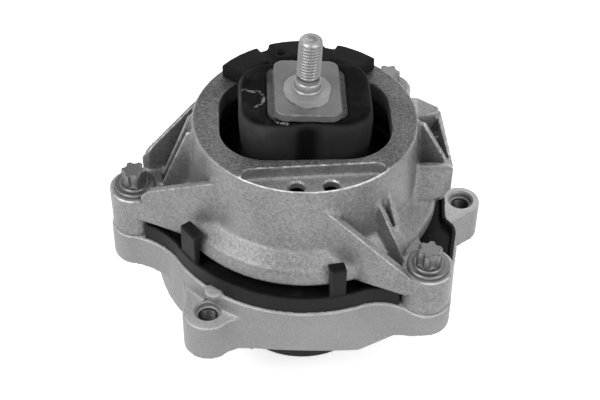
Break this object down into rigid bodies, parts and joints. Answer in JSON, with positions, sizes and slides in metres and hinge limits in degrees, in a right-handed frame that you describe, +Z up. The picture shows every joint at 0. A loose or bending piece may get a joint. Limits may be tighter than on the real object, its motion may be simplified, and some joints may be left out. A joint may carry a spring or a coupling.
{
  "type": "hydraulic engine mount",
  "caption": "Hydraulic engine mount: rubber spring and threaded stud in a cast three-armed housing, screwed to a cast base plate with mounting ears and a fluid cup.",
  "frame": {"origin": "on the mount's axis, at the plane where the base plate sits on the axle carrier", "axes": "+Z points up along the mount's axis, towards the stud; +X points right and -Y towards the camera in the source view, so that the ring's pocket faces -Y"},
  "size_m": [0.1991, 0.1695, 0.1903],
  "materials": {
    "cast_housing": "rough cast",
    "cast_plate": "fine cast",
    "black_plastic": "satin moulded",
    "rubber": "satin with bloom",
    "core_aluminium": "matt",
    "zinc_steel": "zinc plated",
    "sleeve_steel": "phosphated"
  },
  "bodies": {
    "root": {"upper_housing": "cast_housing", "base_plate": "cast_plate", "clip_ring": "black_plastic", "spring_rubber": "rubber", "core": "core_aluminium", "stud": "zinc_steel", "stop_buffer": "rubber", "flange_screws": "zinc_steel", "outer_sleeve": "sleeve_steel", "upper_channel_plate": "core_aluminium", "lower_channel_plate": "core_aluminium", "membrane": "rubber", "bellows": "rubber", "bellows_ring": "sleeve_steel", "lower_cup": "black_plastic", "fluid_seal": "rubber"}
  },
  "joints": []
}
